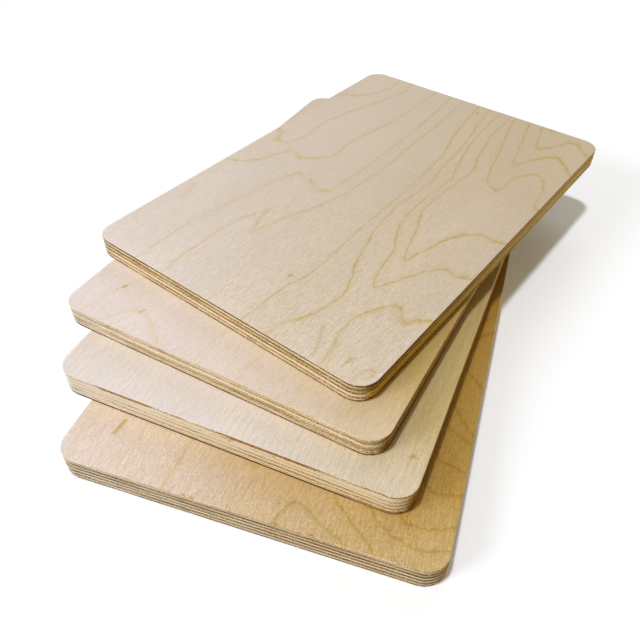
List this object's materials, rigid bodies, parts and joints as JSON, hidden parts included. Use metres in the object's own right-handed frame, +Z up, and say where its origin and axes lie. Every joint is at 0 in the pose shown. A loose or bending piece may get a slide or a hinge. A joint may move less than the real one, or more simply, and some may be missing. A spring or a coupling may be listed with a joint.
{
  "type": "stack of plywood sheets",
  "caption": "Fanned stack of small flat plywood sheets with rounded corners, each glued up from cross-laid birch veneers that show as stripes along its edges.",
  "frame": {"origin": "centre of the bottom sheet's underside, on the surface that the stack lies on", "axes": "+Z up, +Y along the bottom sheet's length from its near short edge to its far one, +X to the right seen from the near edge"},
  "size_m": [0.2826, 0.4036, 0.0536],
  "materials": {
    "face_veneer": "sanded pale birch, bare, with faint yellow-brown growth lines along the sheet",
    "crossband": "sawn and sanded edge of birch veneer laid across the sheet, pale on the short edges",
    "core": "sawn and sanded edge of birch veneer laid along the sheet, brown end grain on the short edges"
  },
  "bodies": {
    "root": {"sheet_1_back_veneer": "face_veneer", "sheet_1_crossband_1": "crossband", "sheet_1_core_1": "core", "sheet_1_crossband_2": "crossband", "sheet_1_core_2": "core", "sheet_1_crossband_3": "crossband", "sheet_1_core_3": "core", "sheet_1_crossband_4": "crossband", "sheet_1_core_4": "core", "sheet_1_crossband_5": "crossband", "sheet_1_face_veneer": "face_veneer", "sheet_2_back_veneer": "face_veneer", "sheet_2_crossband_1": "crossband", "sheet_2_core_1": "core", "sheet_2_crossband_2": "crossband", "sheet_2_core_2": "core", "sheet_2_crossband_3": "crossband", "sheet_2_core_3": "core", "sheet_2_crossband_4": "crossband", "sheet_2_core_4": "core", "sheet_2_crossband_5": "crossband", "sheet_2_face_veneer": "face_veneer", "sheet_3_back_veneer": "face_veneer", "sheet_3_crossband_1": "crossband", "sheet_3_core_1": "core", "sheet_3_crossband_2": "crossband", "sheet_3_core_2": "core", "sheet_3_crossband_3": "crossband", "sheet_3_core_3": "core", "sheet_3_crossband_4": "crossband", "sheet_3_face_veneer": "face_veneer", "sheet_4_back_veneer": "face_veneer", "sheet_4_crossband_1": "crossband", "sheet_4_core_1": "core", "sheet_4_crossband_2": "crossband", "sheet_4_core_2": "core", "sheet_4_crossband_3": "crossband", "sheet_4_core_3": "core", "sheet_4_crossband_4": "crossband", "sheet_4_face_veneer": "face_veneer"}
  },
  "joints": []
}
